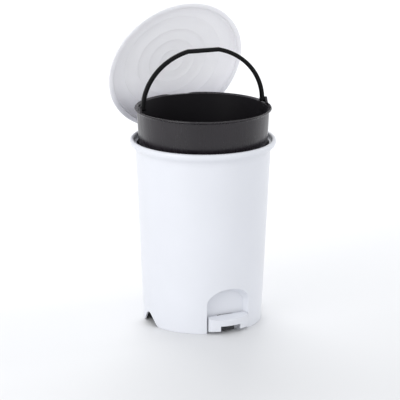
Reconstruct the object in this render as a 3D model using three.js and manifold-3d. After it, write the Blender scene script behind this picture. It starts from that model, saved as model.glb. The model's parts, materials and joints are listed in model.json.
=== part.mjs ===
// Round pedal bin with a lift-out inner bucket, drawn with its lid open and the bucket raised.
// Millimetres, +Z up. The pedal faces -Y and the lid hinge lies towards +Y.
import * as THREE from 'three';
import Module from 'manifold-3d';
import { mergeVertices } from 'three/addons/utils/BufferGeometryUtils.js';

const wasm = await Module();
wasm.setup();

// ---- Driving dimensions -------------------------------------------------------------------
const CLEARANCE = 0.3;            // gap between touching pieces
const OVERCUT = 1;                // how far a cutting tool passes the face it cuts
const THROUGH = 120;              // half length of a tool that cuts right through the bin
const ROUND_SEGMENTS = 72;        // facets around the large shells
const HUB_SEGMENTS = 20;
const PIN_SEGMENTS = 16;
const WIRE_SEGMENTS = 12;
const HOLE_SEGMENTS = 8;

// Can
const BODY_HEIGHT = 266;
const FOOT_RADIUS = 84.9;
const WALL_TAPER = 0.0447;        // radius gained per millimetre of height
const BODY_WALL = 2.2;
const FLARE_HEIGHT = 250;         // where the wall starts to flare into the rim
const RIM_RADIUS = 104;
const RIM_INNER_RADIUS = 97.9;
const LEDGE_HEIGHT = 259.5;       // step inside the rim that carries the bucket flange
// Outside of the rolled rim, from the flare to its crest: inset from the rim radius, depth below the top.
const RIM_ROLL = [[5.4, 12], [2.1, 9.4], [0.5, 6.6], [0, 4], [0.7, 1.2], [2.3, 0]];
// Rounded inner lip of the rim: distance out from the inner radius, depth below the top.
const RIM_LIP = [[0, 2.6], [0.4, 1.1], [1.7, -0.01], [1.7, -5]];

// Pedal alcove, notches and rear mounting strip
const ALCOVE_BACK = -70.5;        // flat back of the alcove
const ALCOVE_SURFACE = -79;       // where the alcove's outer width and height are measured
const ALCOVE_HALF_WIDTH = 32.7;
const ALCOVE_BACK_HALF_WIDTH = 28.5;
const ALCOVE_TOP = 61;
const ALCOVE_BACK_TOP = 57;
const ALCOVE_SPRING = 0.69;       // height of the straight sides, as a share of the top
const SLOT_TOP = 23.2;            // opening for the lever under the alcove's back wall
const SLOT_HALF_WIDTH = 12.5;
const SLOT_REACH = [-82, -60];
const NOTCH_HEIGHT = 18;
const NOTCH_HALF_WIDTH = 25;
const NOTCH_FULLNESS = 1.15;      // exponent of the notch's bell curve
const FLAT_PROUD = 1.5;           // mounting strip, proud of the wall
const FLAT_HALF_WIDTH = 26;
const FLAT_BOTTOM = 6;
const FLAT_TOP = 251;
const FLAT_ROOT = 70;             // depth inside the can where the strip's block starts
const TAIL_SLOT = { halfWidth: 6, bottom: 2, top: 31 };
const ROD_GROOVE = [150, 240];    // heights of the groove for the rod in the mounting strip
const ROD_WINDOW = { x: [-2, 14], y: [96, 100], z: [228, 252] };

// Inner floor and its bosses
const FLOOR_BOTTOM = 68.2;
const FLOOR_THICKNESS = 2.2;
const FLOOR_GAP = 0.4;            // floor edge to the can's wall
const FLOOR_SCREW_RADIUS = 77;
const FLOOR_SCREW_ANGLES = [45, 135, 225, 315];
const BOSS = { radial: 20, width: 9, height: 24, out: 5, hole: 14 };

// Lid
const LID_OPEN_DEG = 68.7;
const HINGE_Y = 107;
const HINGE_Z = 245;
const LID_RADIUS = 104.8;
const LID_BOTTOM = 266.4;         // underside of the closed lid
const LID_SKIN = 1.9;
const LID_RINGS = [76, 54, 36, 18];
const RING_STEP = 0.45;           // each ring stands this much over the one outside it
const RING_SLOPE = 0.6;           // half the width of the step between two rings
const CROWN_RADIUS = 90;
const CROWN_BASE = 281.2;
const CROWN_RISE = 1.6;
// Edge of the lid, outside and underside: inset from the lid radius, height over the lid's bottom.
const LID_EDGE = [[0, 0], [0, 1.6], [0.7, 2.3], [4.2, 2.5], [4.6, 7], [6.4, 10.6], [10.2, 13.4]];
const LID_EDGE_UNDER = [[6.6, -OVERCUT], [6.6, 6.6], [8.2, 9.4], [11.4, 11.6]];
const TAB_HALF_WIDTH = 21;
const TAB_REACH = [96, 113];
const TAB_BOTTOM = LID_BOTTOM + 0.2;
const TAB_TOP = 270;
const TAB_INNER_RADIUS = 100.4;
const BARREL_RADIUS = 5.4;
const BARREL_HALF_WIDTH = 21.4;
const ARM_WALL = [104.9, 112.4];
const ARM_SCREWS = [[-14, 108.6], [14, 108.6]];
const ARM_HOLE_DEPTH = 11;
const LUG_REACH = 8.5;            // rod line to hinge pin
const LUG_TIP = 1.7;              // lug beyond the rod line
const LUG_WIDTH = 10;
const LUG_THICKNESS = 4;

// Push rod
const ROD_RADIUS = 1.8;
const ROD_X = 6.2;
const ROD_Y = HINGE_Y - LUG_REACH;
const ROD_TOP_GAP = 1.6;          // rod end to the lid's lug
const ROD_FOOT = -8.4;            // free end of the rod's bent foot
const ROD_PLAY = 0.9;             // radial play of the rod in the lever and the groove
const GUIDE_PLAY = 0.35;
const NUT_RADIUS = 4;
const NUT_SPAN = [-7, -5];
const GUIDE_HEIGHT = 8;
const GUIDES = { rod_guide_lower: 60, rod_guide_upper: 192 };
const GUIDE_HALF_WIDTH = 6;
const GUIDE_STANDOFF = 0.7;       // lower edge of a guide to the mounting strip

// Pedal lever and its bearings
const LEVER_Y = 28.2;             // lever pivot
const LEVER_Z = 14;
const TAIL_Z = 19.4;              // rod hole in the lever's tail
const TAIL_RADIUS = 4.4;
const TAIL_HALF_WIDTH = 4;
const HUB_RADIUS = 7;
const HUB_HALF_WIDTH = 24.5;
const BEAM_HALF_WIDTH = 11;
const BEAM_HALF_DEPTH = 5;        // at the pivot
const BEAM_BOTTOM = 1.6;          // at the pad end
const BEAM_THICKNESS = 3.8;
const BEAM_KNEE = -66;            // the beam runs level in front of here
const BEAM_END = -79;
const RISER_BACK = -75.4;
const PLATE_HALF_WIDTH = 20.5;
const PLATE_FRONT = -82.2;
const PLATE_BOTTOM = 14.4;
const PLATE_TOP = 17.5;
const BRACKET_X = [25, 28];
const BRACKET_FLANGE = { out: 39, thickness: 6, screwX: 33 };
const BRACKET_TOP_HALF = 13;
const BRACKET_FOOT_HALF = 8;      // also half the distance between a bracket's screws
const BRACKET_FOOT_DROP = 6;      // bracket below the pivot line
const PIVOT_PIN_HALF = 31;
const PIVOT_CLIP = [28.4, 29.6];

// Pedal pad
const PAD_TOP = 23.8;
const PAD_FOOT = 4.5;             // lower edge of the two legs
const PAD_GAP_HALF_WIDTH = 15.5;  // opening between the legs
const PAD_GAP_TOP = 12;
const PAD_CEILING = 17.8;         // underside of the pad's top skin
const PAD_BACK = -74;
const PAD_SHOULDER = 6;           // depth of the narrowed part at the back
const PAD_HALF_WIDTH = 30.6;
const PAD_NARROWING = 2.6;
const PAD_WALL = 2.4;
const PAD_FRONT = -92;
const PAD_SAGITTA = 9;
const PAD_HOLE_DEPTH = 3;
const PAD_SCREWS = [[-16, -79.5], [16, -79.5]];
// Slope of the pad's top towards its front: distance behind the front, depth below the top.
const PAD_NOSE = [[-11, 7], [0, 4.2], [2, 2.9], [14, 0.3], [17, -0.01], [-11, -0.01]];

// Rear cover and hinge bracket
const PLATE_THICKNESS = 3;
const COVER_BACK = 112;
const COVER_BOTTOM = 8;
const COVER_TOP = 222;
const COVER_HALF_WIDTH = 25;
const CHANNEL_HALF_WIDTH = 16;
const CHANNEL_WALL = 2.2;
const REAR_HOLE_DEPTH = 5.2;      // each way from the mounting strip's face
const COVER_SCREWS = [[-21, 24], [21, 24], [-21, 206], [21, 206]];
const HINGE_FOOT = { bottom: 226, top: 249, inner: 12 };
const HINGE_EAR = [22, 26];
// Outline of a hinge ear beyond the can: distance behind the pin, height over the pin.
const EAR_OUTLINE = [[2, -19], [6, -4], [6, 2], [3, 5.5], [-3, 5.5]];
const HINGE_BRIDGE = { halfWidth: 23, y: [104.4, 107.4], height: 5 };
const BRACKET_SCREWS = [[-17.6, 235], [17.6, 235]];
const HINGE_PIN_HALF = 29;
const HINGE_CLIP = [26.4, 27.6];

// Inner bucket and bail
const BUCKET_LIFT = 47.2;         // how far the bucket stands above its seat
const FLANGE_SEAT = 4;            // flange's top edge over the ledge, when the bucket is down
const BUCKET_TOP = LEDGE_HEIGHT + CLEARANCE + FLANGE_SEAT + BUCKET_LIFT;
const BUCKET_DEPTH = 188;
const BUCKET_RADIUS = 93.9;       // outer wall under the flange
const BUCKET_TAPER = 0.047;
const BUCKET_WALL = 1.7;
const BUCKET_FOOT_BEND = 4;
const BUCKET_FOOT_EDGE = 1.2;
const FLANGE_RADIUS = 97.4;
const FLANGE_THICKNESS = 1.4;
const FLARE_DEPTH = 4.2;          // the flange flares out from the wall over this height
const FLANGE_EDGE = 0.5;          // chamfer of its outer top edge
const FUNNEL_DROP = 1.8;          // the flange slopes down this much towards the bucket's mouth
const FUNNEL_INSET = 1;           // mouth edge inside the bucket's outer wall
const EAR_BASE_HALF = 6;
const EAR_TOP_HALF = 4;
const EAR_HEIGHT = 7.2;
const EAR_INSET = 0.2;            // ear inside the flange's edge
const EAR_PIN_RADIUS = 2.4;
const BAIL_PIVOT_Z = BUCKET_TOP + 3.6;
const BAIL_OUTER = 93.6;
const BAIL_GAP = 0.6;             // bail to the ears
const BAIL_THICKNESS = 6.2;
const BAIL_RISE = 80.3;           // pivot to the outer top face
const BAIL_DEPTH = 6;
const BAIL_GRIP_HALF = 23;
const RELIEF_HALF_WIDTH = 20;     // shallow notch in the flange at the back
const RELIEF_DEPTH = 1.7;
const BUCKET_TURN_DEG = -5;       // the round bucket stands slightly turned in the can

// Pins and screws
const PIN_RADIUS = 2.5;
const PIN_HOLE = PIN_RADIUS + CLEARANCE;
const CLIP_RADIUS = 5.2;
const SCREW_SHANK = 1.5;
const SCREW_HOLE = SCREW_SHANK + CLEARANCE;
const SCREW_HEAD = 3.1;
const HEAD_HEIGHT = 1.6;
const RECESS_HALF_LENGTH = 1.8;
const RECESS_HALF_WIDTH = 0.4;
const RECESS_BOTTOM = 0.8;
const SCREW_LENGTH = { floor: 12, bearing: 8, pad: 6, rear: 7.6, lid: 13 };

// The opened lid reaches further back than the rim does in front: the offset centres the whole.
const AXIS_OFFSET = 15.46;

// ---- Solids -------------------------------------------------------------------------------
function solid(geometry) {
  const bare = geometry.index ? geometry.toNonIndexed() : geometry.clone();
  bare.deleteAttribute('normal');
  bare.deleteAttribute('uv');
  const merged = mergeVertices(bare, 1e-4);
  const index = merged.index.array;
  const kept = [];
  for (let i = 0; i < index.length; i += 3) {
    const [a, b, c] = [index[i], index[i + 1], index[i + 2]];
    if (a !== b && b !== c && c !== a) kept.push(a, b, c);
  }
  const vertProperties = new Float32Array(merged.attributes.position.array);
  const build = (triVerts) => new wasm.Manifold(new wasm.Mesh({ numProp: 3, vertProperties, triVerts }));
  const made = build(new Uint32Array(kept));
  return made.volume() > 0 ? made : build(new Uint32Array(kept.reverse()));
}

function join(...parts) {
  return parts.reduce((sum, part) => sum.add(part));
}

function cut(base, ...tools) {
  return tools.reduce((rest, tool) => rest.subtract(tool), base);
}

const AXIS_BASIS = {
  x: [[0, 1, 0], [0, 0, 1], [1, 0, 0]],
  y: [[1, 0, 0], [0, 0, 1], [0, -1, 0]],
  z: [[1, 0, 0], [0, 1, 0], [0, 0, 1]],
};

// A flat outline swept along one axis. Outlines are (y, z) for x, (x, z) for y and (x, y) for z.
function prismGeometry(outline, axis, from, to) {
  const shape = new THREE.Shape(outline.map(([u, v]) => new THREE.Vector2(u, v)));
  const geometry = new THREE.ExtrudeGeometry(shape, { depth: to - from, bevelEnabled: false, steps: 1 });
  geometry.translate(0, 0, axis === 'y' ? -to : from);
  const columns = AXIS_BASIS[axis].map((column) => new THREE.Vector3(...column));
  return geometry.applyMatrix4(new THREE.Matrix4().makeBasis(...columns));
}

function prism(outline, axis, from, to) {
  return solid(prismGeometry(outline, axis, from, to));
}

function block(xs, ys, zs) {
  const geometry = new THREE.BoxGeometry(xs[1] - xs[0], ys[1] - ys[0], zs[1] - zs[0]);
  return solid(geometry.translate((xs[0] + xs[1]) / 2, (ys[0] + ys[1]) / 2, (zs[0] + zs[1]) / 2));
}

// A round bar between two places on an axis; u and v are its other two coordinates in X, Y, Z order.
function bar(radius, axis, from, to, u, v, segments = PIN_SEGMENTS) {
  const geometry = new THREE.CylinderGeometry(radius, radius, to - from, segments);
  const middle = (from + to) / 2;
  if (axis === 'x') geometry.rotateZ(-Math.PI / 2).translate(middle, u, v);
  if (axis === 'y') geometry.translate(u, middle, v);
  if (axis === 'z') geometry.rotateX(Math.PI / 2).translate(u, v, middle);
  return solid(geometry);
}

function lathe(profile, segments = ROUND_SEGMENTS) {
  const points = profile.map(([r, z]) => new THREE.Vector2(r, z));
  if (profile[0][0] !== 0 || profile.at(-1)[0] !== 0) points.push(points[0].clone());
  return solid(new THREE.LatheGeometry(points, segments).rotateX(Math.PI / 2));
}

function mirrorX(made) {
  return made.mirror([1, 0, 0]);
}

function material(color, roughness, metalness = 0, extra = {}) {
  return new THREE.MeshStandardMaterial({ color, roughness, metalness, ...extra });
}

const MATERIALS = {
  body: () => material(0xeff1f5, 0.38),
  lid: () => material(0xd3d4da, 0.3),
  bucket: () => material(0x3b383c, 0.42),
  bail: () => material(0x17171a, 0.4),
  steel: () => material(0xb9bcc0, 0.3, 0.9),
  mechanism: () => material(0x3c3c40, 0.5),
};

function mesh(name, made, slot) {
  const data = made.getMesh();
  const geometry = new THREE.BufferGeometry();
  geometry.setAttribute('position', new THREE.BufferAttribute(new Float32Array(data.vertProperties), 3));
  geometry.setIndex(new THREE.BufferAttribute(new Uint32Array(data.triVerts), 1));
  const piece = new THREE.Mesh(geometry, MATERIALS[slot]());
  piece.name = name;
  return piece;
}

// A pan-head screw with its head's seat at the origin and its shank along -Z.
function screw(length) {
  const head = bar(SCREW_HEAD, 'z', 0, HEAD_HEIGHT, 0, 0, WIRE_SEGMENTS);
  const shank = bar(SCREW_SHANK, 'z', -length, HEAD_HEIGHT / 2, 0, 0, HOLE_SEGMENTS);
  const long = [-RECESS_HALF_LENGTH, RECESS_HALF_LENGTH];
  const narrow = [-RECESS_HALF_WIDTH, RECESS_HALF_WIDTH];
  const height = [RECESS_BOTTOM, HEAD_HEIGHT + OVERCUT];
  return cut(join(head, shank), block(long, narrow, height), block(narrow, long, height));
}

function screwMesh(name, length, position, rotationX = 0) {
  const piece = mesh(name, screw(length), 'steel');
  piece.position.set(...position);
  piece.rotation.x = rotationX;
  return piece;
}

// ---- Outer body ---------------------------------------------------------------------------
function wallRadius(z) {
  return FOOT_RADIUS + WALL_TAPER * z;
}

function flatY(z) {
  return wallRadius(z) + FLAT_PROUD;
}

function bodyOutline() {
  const roll = RIM_ROLL.map(([inset, depth]) => [RIM_RADIUS - inset, BODY_HEIGHT - depth]);
  return [[0, 0], [FOOT_RADIUS, 0], [wallRadius(FLARE_HEIGHT), FLARE_HEIGHT], ...roll, [0, BODY_HEIGHT]];
}

function bodyVoid() {
  const inside = (z) => wallRadius(z) - BODY_WALL;
  const lip = RIM_LIP.map(([out, depth]) => [RIM_INNER_RADIUS + out, BODY_HEIGHT - depth]);
  return [
    [0, -OVERCUT],
    [inside(-OVERCUT), -OVERCUT],
    [inside(LEDGE_HEIGHT), LEDGE_HEIGHT],
    [RIM_INNER_RADIUS, LEDGE_HEIGHT],
    ...lip,
    [0, lip.at(-1)[1]],
  ];
}

// Unit arch: straight sides up to the spring line and an elliptical top, from x = 1 to x = -1.
function archOutline() {
  const below = -0.05;
  const steps = 14;
  const outline = [[1, below]];
  for (let i = 0; i <= steps; i += 1) {
    const angle = (Math.PI * i) / steps;
    outline.push([Math.cos(angle), ALCOVE_SPRING + (1 - ALCOVE_SPRING) * Math.sin(angle)]);
  }
  outline.push([-1, below]);
  return outline;
}

// The pedal alcove widens from its back wall to the outer surface. Grow thickens it all round.
function alcove(grow, back) {
  const front = ALCOVE_BACK - BODY_WALL - RIM_RADIUS + FOOT_RADIUS;
  const geometry = prismGeometry(archOutline(), 'y', front, back);
  const place = geometry.attributes.position;
  for (let i = 0; i < place.count; i += 1) {
    const share = (ALCOVE_BACK - place.getY(i)) / (ALCOVE_BACK - ALCOVE_SURFACE);
    const halfWidth = THREE.MathUtils.lerp(ALCOVE_BACK_HALF_WIDTH, ALCOVE_HALF_WIDTH, share);
    const top = THREE.MathUtils.lerp(ALCOVE_BACK_TOP, ALCOVE_TOP, share);
    place.setX(i, place.getX(i) * (halfWidth + grow));
    place.setZ(i, place.getZ(i) * (top + grow));
  }
  return solid(geometry);
}

function alcovePocket(full) {
  const below = block([-THROUGH, THROUGH], [-THROUGH, 0], [-THROUGH, 0]);
  return cut(alcove(BODY_WALL, ALCOVE_BACK + BODY_WALL).intersect(full), below);
}

// Bell-shaped grip notch in the bottom edge, one on each side.
function notch() {
  const steps = 12;
  const outline = [[-NOTCH_HALF_WIDTH - OVERCUT, -OVERCUT]];
  for (let i = 0; i <= steps; i += 1) {
    const t = -1 + (2 * i) / steps;
    const bell = ((1 + Math.cos(Math.PI * t)) / 2) ** NOTCH_FULLNESS;
    outline.push([t * NOTCH_HALF_WIDTH, NOTCH_HEIGHT * bell]);
  }
  outline.push([NOTCH_HALF_WIDTH + OVERCUT, -OVERCUT]);
  return prism(outline, 'x', -THROUGH, THROUGH);
}

function rearFlat() {
  const outline = [
    [FLAT_ROOT, FLAT_BOTTOM],
    [flatY(FLAT_BOTTOM), FLAT_BOTTOM],
    [flatY(FLAT_TOP), FLAT_TOP],
    [FLAT_ROOT, FLAT_TOP],
  ];
  return prism(outline, 'x', -FLAT_HALF_WIDTH, FLAT_HALF_WIDTH);
}

function floorBosses() {
  const bosses = FLOOR_SCREW_ANGLES.map((degrees) => {
    const geometry = new THREE.BoxGeometry(BOSS.radial, BOSS.width, BOSS.height);
    geometry.translate(FLOOR_SCREW_RADIUS + BOSS.out, 0, FLOOR_BOTTOM - CLEARANCE - BOSS.height / 2);
    return solid(geometry.rotateZ(THREE.MathUtils.degToRad(degrees)));
  });
  return join(...bosses);
}

function floorScrewPlaces() {
  return FLOOR_SCREW_ANGLES.map((degrees) => {
    const angle = THREE.MathUtils.degToRad(degrees);
    return [FLOOR_SCREW_RADIUS * Math.cos(angle), FLOOR_SCREW_RADIUS * Math.sin(angle)];
  });
}

// Openings in the can for the lever, the lever's tail, the rod and the lid's lug.
function linkageOpenings() {
  const { halfWidth, bottom, top } = TAIL_SLOT;
  return [
    block([-SLOT_HALF_WIDTH, SLOT_HALF_WIDTH], SLOT_REACH, [-OVERCUT, SLOT_TOP]),
    block([-halfWidth, halfWidth], [FLAT_ROOT, ROD_Y + OVERCUT], [bottom, top]),
    bar(ROD_RADIUS + ROD_PLAY, 'z', ...ROD_GROOVE, ROD_X, ROD_Y),
    block(ROD_WINDOW.x, ROD_WINDOW.y, ROD_WINDOW.z),
  ];
}

function rearScrewHole(x, z) {
  return bar(SCREW_HOLE, 'y', flatY(z) - REAR_HOLE_DEPTH, flatY(z) + REAR_HOLE_DEPTH, x, z, HOLE_SEGMENTS);
}

function bodyScrewHoles() {
  const floor = floorScrewPlaces().map(([x, y]) => (
    bar(SCREW_HOLE, 'z', FLOOR_BOTTOM - BOSS.hole, FLOOR_BOTTOM + OVERCUT, x, y, HOLE_SEGMENTS)
  ));
  const rear = [...COVER_SCREWS, ...BRACKET_SCREWS].map(([x, z]) => rearScrewHole(x, z));
  return [...floor, ...rear];
}

function outerBody() {
  const full = lathe(bodyOutline());
  const shell = cut(join(full, rearFlat()), lathe(bodyVoid()));
  const body = join(shell, alcovePocket(full), floorBosses().intersect(full));
  const openings = [alcove(0, ALCOVE_BACK), notch(), ...linkageOpenings(), ...bodyScrewHoles()];
  return mesh('outer_body', cut(body, ...openings), 'body');
}

// ---- Inner floor and pedal bearings -------------------------------------------------------
const BEARING_SCREWS = [-1, 1].flatMap((side) => (
  [-1, 1].map((end) => [side * BRACKET_FLANGE.screwX, LEVER_Y + end * BRACKET_FOOT_HALF])
));

function innerFloor() {
  const radius = wallRadius(FLOOR_BOTTOM) - BODY_WALL - FLOOR_GAP;
  const top = FLOOR_BOTTOM + FLOOR_THICKNESS;
  const plate = lathe([[0, FLOOR_BOTTOM], [radius, FLOOR_BOTTOM], [radius, top], [0, top]]);
  const holes = [...floorScrewPlaces(), ...BEARING_SCREWS].map(([x, y]) => (
    bar(SCREW_HOLE, 'z', FLOOR_BOTTOM - OVERCUT, top + OVERCUT, x, y, HOLE_SEGMENTS)
  ));
  return mesh('inner_floor', cut(plate, ...holes), 'mechanism');
}

function bearingBracket() {
  const top = FLOOR_BOTTOM - CLEARANCE;
  const foot = LEVER_Z - BRACKET_FOOT_DROP;
  const web = prism([
    [LEVER_Y - BRACKET_TOP_HALF, top],
    [LEVER_Y - BRACKET_FOOT_HALF, foot],
    [LEVER_Y + BRACKET_FOOT_HALF, foot],
    [LEVER_Y + BRACKET_TOP_HALF, top],
  ], 'x', ...BRACKET_X);
  const { out, thickness, screwX } = BRACKET_FLANGE;
  const along = [LEVER_Y - BRACKET_TOP_HALF, LEVER_Y + BRACKET_TOP_HALF];
  const flange = block([BRACKET_X[0], out], along, [top - thickness, top]);
  const pinHole = bar(PIN_HOLE, 'x', BRACKET_X[0] - OVERCUT, BRACKET_X[1] + OVERCUT, LEVER_Y, LEVER_Z);
  const screwHoles = [-1, 1].map((end) => {
    const y = LEVER_Y + end * BRACKET_FOOT_HALF;
    return bar(SCREW_HOLE, 'z', top - thickness - OVERCUT, top + OVERCUT, screwX, y, HOLE_SEGMENTS);
  });
  return cut(join(web, flange), pinHole, ...screwHoles);
}

function clip(axis, from, to, u, v) {
  return cut(bar(CLIP_RADIUS, axis, from, to, u, v), bar(PIN_HOLE, axis, from - 1, to + 1, u, v));
}

function pedalBearings(group) {
  group.add(mesh('bearing_bracket_right', bearingBracket(), 'mechanism'));
  group.add(mesh('bearing_bracket_left', mirrorX(bearingBracket()), 'mechanism'));
  const pin = bar(PIN_RADIUS, 'x', -PIVOT_PIN_HALF, PIVOT_PIN_HALF, LEVER_Y, LEVER_Z);
  group.add(mesh('pedal_pivot_pin', pin, 'steel'));
  const retainer = clip('x', ...PIVOT_CLIP, LEVER_Y, LEVER_Z);
  group.add(mesh('pivot_clip_right', retainer, 'steel'));
  group.add(mesh('pivot_clip_left', mirrorX(retainer), 'steel'));
  const seat = FLOOR_BOTTOM + FLOOR_THICKNESS + CLEARANCE;
  floorScrewPlaces().forEach(([x, y], i) => {
    group.add(screwMesh(`floor_screw_${i + 1}`, SCREW_LENGTH.floor, [x, y, seat]));
  });
  BEARING_SCREWS.forEach(([x, y], i) => {
    group.add(screwMesh(`bearing_screw_${i + 1}`, SCREW_LENGTH.bearing, [x, y, seat]));
  });
}

// ---- Pedal --------------------------------------------------------------------------------
// The pad's plan: straight back, narrowed corners and a bowed front that follows the can's curve.
function padPlan(inset, back = PAD_BACK) {
  const half = PAD_HALF_WIDTH - inset;
  const shoulder = PAD_BACK - PAD_SHOULDER;
  const narrow = half - PAD_NARROWING;
  const outline = [[half, shoulder], [narrow, back], [-narrow, back], [-half, shoulder]];
  const steps = 12;
  for (let i = 0; i <= steps; i += 1) {
    const t = -1 + (2 * i) / steps;
    outline.push([t * half, PAD_FRONT + inset + PAD_SAGITTA * t * t]);
  }
  return outline;
}

// What is left out below the pad's front: the gap between the legs and the space behind them.
function padUndercuts() {
  const shoulder = PAD_BACK - PAD_SHOULDER;
  const heights = [PAD_FOOT - OVERCUT, PAD_GAP_TOP];
  return [
    block([-PAD_GAP_HALF_WIDTH, PAD_GAP_HALF_WIDTH], [PAD_FRONT - OVERCUT, shoulder + OVERCUT], heights),
    block([-THROUGH, THROUGH], [shoulder, PAD_BACK + OVERCUT], heights),
  ];
}

// The pad is hollow below and open at the back, where the lever comes in. It has a leg at each side.
function pedalPad() {
  const outer = prism(padPlan(0), 'z', PAD_FOOT, PAD_TOP);
  const nose = PAD_NOSE.map(([behind, depth]) => [PAD_FRONT + behind, PAD_TOP - depth]);
  const slope = prism(nose, 'x', -THROUGH, THROUGH);
  const hollow = prism(padPlan(PAD_WALL, PAD_BACK + OVERCUT), 'z', PAD_FOOT - OVERCUT, PAD_CEILING);
  const holes = PAD_SCREWS.map(([x, y]) => (
    bar(SCREW_HOLE, 'z', PAD_CEILING - OVERCUT, PAD_CEILING + PAD_HOLE_DEPTH, x, y, HOLE_SEGMENTS)
  ));
  return mesh('pedal_pad', cut(outer, slope, hollow, ...padUndercuts(), ...holes), 'body');
}

function leverBeam() {
  const top = BEAM_BOTTOM + BEAM_THICKNESS;
  const outline = [
    [LEVER_Y, LEVER_Z - BEAM_HALF_DEPTH],
    [LEVER_Y, LEVER_Z + BEAM_HALF_DEPTH],
    [BEAM_KNEE, top],
    [BEAM_END, top],
    [BEAM_END, BEAM_BOTTOM],
    [BEAM_KNEE, BEAM_BOTTOM],
  ];
  return prism(outline, 'x', -BEAM_HALF_WIDTH, BEAM_HALF_WIDTH);
}

function leverTail() {
  const outline = [
    [LEVER_Y, LEVER_Z - BEAM_HALF_DEPTH],
    [ROD_Y, TAIL_Z - TAIL_RADIUS],
    [ROD_Y + TAIL_RADIUS, TAIL_Z],
    [ROD_Y, TAIL_Z + TAIL_RADIUS],
    [LEVER_Y, LEVER_Z + BEAM_HALF_DEPTH],
  ];
  return prism(outline, 'x', -TAIL_HALF_WIDTH, TAIL_HALF_WIDTH);
}

function pedalLever() {
  const across = [-BEAM_HALF_WIDTH, BEAM_HALF_WIDTH];
  const riser = block(across, [BEAM_END, RISER_BACK], [BEAM_BOTTOM, PLATE_TOP - OVERCUT]);
  const plate = block(
    [-PLATE_HALF_WIDTH, PLATE_HALF_WIDTH],
    [PLATE_FRONT, RISER_BACK],
    [PLATE_BOTTOM, PLATE_TOP],
  );
  const hub = bar(HUB_RADIUS, 'x', -HUB_HALF_WIDTH, HUB_HALF_WIDTH, LEVER_Y, LEVER_Z, HUB_SEGMENTS);
  const pinHole = bar(PIN_HOLE, 'x', -THROUGH, THROUGH, LEVER_Y, LEVER_Z);
  const rodHole = bar(ROD_RADIUS + ROD_PLAY, 'x', -THROUGH, THROUGH, ROD_Y, TAIL_Z);
  const screwHoles = PAD_SCREWS.map(([x, y]) => (
    bar(SCREW_HOLE, 'z', PLATE_BOTTOM - OVERCUT, PLATE_TOP + OVERCUT, x, y, HOLE_SEGMENTS)
  ));
  const lever = join(leverBeam(), riser, plate, hub, leverTail());
  return mesh('pedal_lever', cut(lever, pinHole, rodHole, ...screwHoles), 'mechanism');
}

function pedal(group) {
  group.add(pedalPad());
  group.add(pedalLever());
  PAD_SCREWS.forEach(([x, y], i) => {
    const place = [x, y, PLATE_BOTTOM - CLEARANCE];
    group.add(screwMesh(`pad_screw_${i + 1}`, SCREW_LENGTH.pad, place, Math.PI));
  });
}

// ---- Push rod -----------------------------------------------------------------------------
function rodTop() {
  const swing = THREE.MathUtils.degToRad(LID_OPEN_DEG / 2);
  return HINGE_Z + LUG_REACH * Math.tan(swing) - LUG_THICKNESS / 2 / Math.cos(swing) - ROD_TOP_GAP;
}

function pushRod(group) {
  const wire = bar(ROD_RADIUS, 'z', TAIL_Z, rodTop(), ROD_X, ROD_Y, WIRE_SEGMENTS);
  const foot = bar(ROD_RADIUS, 'x', ROD_FOOT, ROD_X + ROD_RADIUS, ROD_Y, TAIL_Z, WIRE_SEGMENTS);
  group.add(mesh('push_rod', join(wire, foot), 'steel'));
  const disc = bar(NUT_RADIUS, 'x', ...NUT_SPAN, ROD_Y, TAIL_Z, WIRE_SEGMENTS);
  const hole = bar(ROD_RADIUS + CLEARANCE, 'x', -THROUGH, THROUGH, ROD_Y, TAIL_Z, WIRE_SEGMENTS);
  group.add(mesh('rod_push_nut', cut(disc, hole), 'steel'));
}

function rodGuide(low) {
  const high = low + GUIDE_HEIGHT;
  const back = ROD_Y + TAIL_HALF_WIDTH;
  const outline = [
    [flatY(low) + GUIDE_STANDOFF, low],
    [back, low],
    [back, high],
    [flatY(high) + CLEARANCE, high],
  ];
  const guide = prism(outline, 'x', ROD_X - GUIDE_HALF_WIDTH, ROD_X + GUIDE_HALF_WIDTH);
  const hole = bar(ROD_RADIUS + GUIDE_PLAY, 'z', low - OVERCUT, high + OVERCUT, ROD_X, ROD_Y, WIRE_SEGMENTS);
  return cut(guide, hole);
}

// ---- Rear cover and hinge -----------------------------------------------------------------
// Outline (y, z) of a piece that stands on the mounting strip, out to the given back.
function behindFlat(low, high, back) {
  const front = (z) => flatY(z) + CLEARANCE;
  return [[front(low), low], [back(low), low], [back(high), high], [front(high), high]];
}

function footBack(z) {
  return flatY(z) + PLATE_THICKNESS;
}

function rearCover() {
  const heights = [COVER_BOTTOM, COVER_TOP];
  const plate = prism(behindFlat(...heights, footBack), 'x', -COVER_HALF_WIDTH, COVER_HALF_WIDTH);
  const outline = behindFlat(...heights, () => COVER_BACK);
  const channel = prism(outline, 'x', -CHANNEL_HALF_WIDTH, CHANNEL_HALF_WIDTH);
  const inside = CHANNEL_HALF_WIDTH - CHANNEL_WALL;
  const hollow = block(
    [-inside, inside],
    [0, COVER_BACK - CHANNEL_WALL],
    [COVER_BOTTOM - OVERCUT, COVER_TOP - CHANNEL_WALL],
  );
  const radius = ROD_RADIUS + ROD_PLAY;
  const heightOfRoof = [COVER_TOP - CHANNEL_WALL - OVERCUT, COVER_TOP + OVERCUT];
  const rodHole = bar(radius, 'z', ...heightOfRoof, ROD_X, ROD_Y, WIRE_SEGMENTS);
  const screwHoles = COVER_SCREWS.map(([x, z]) => rearScrewHole(x, z));
  return mesh('rear_cover', cut(join(plate, channel), hollow, rodHole, ...screwHoles), 'body');
}

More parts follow.
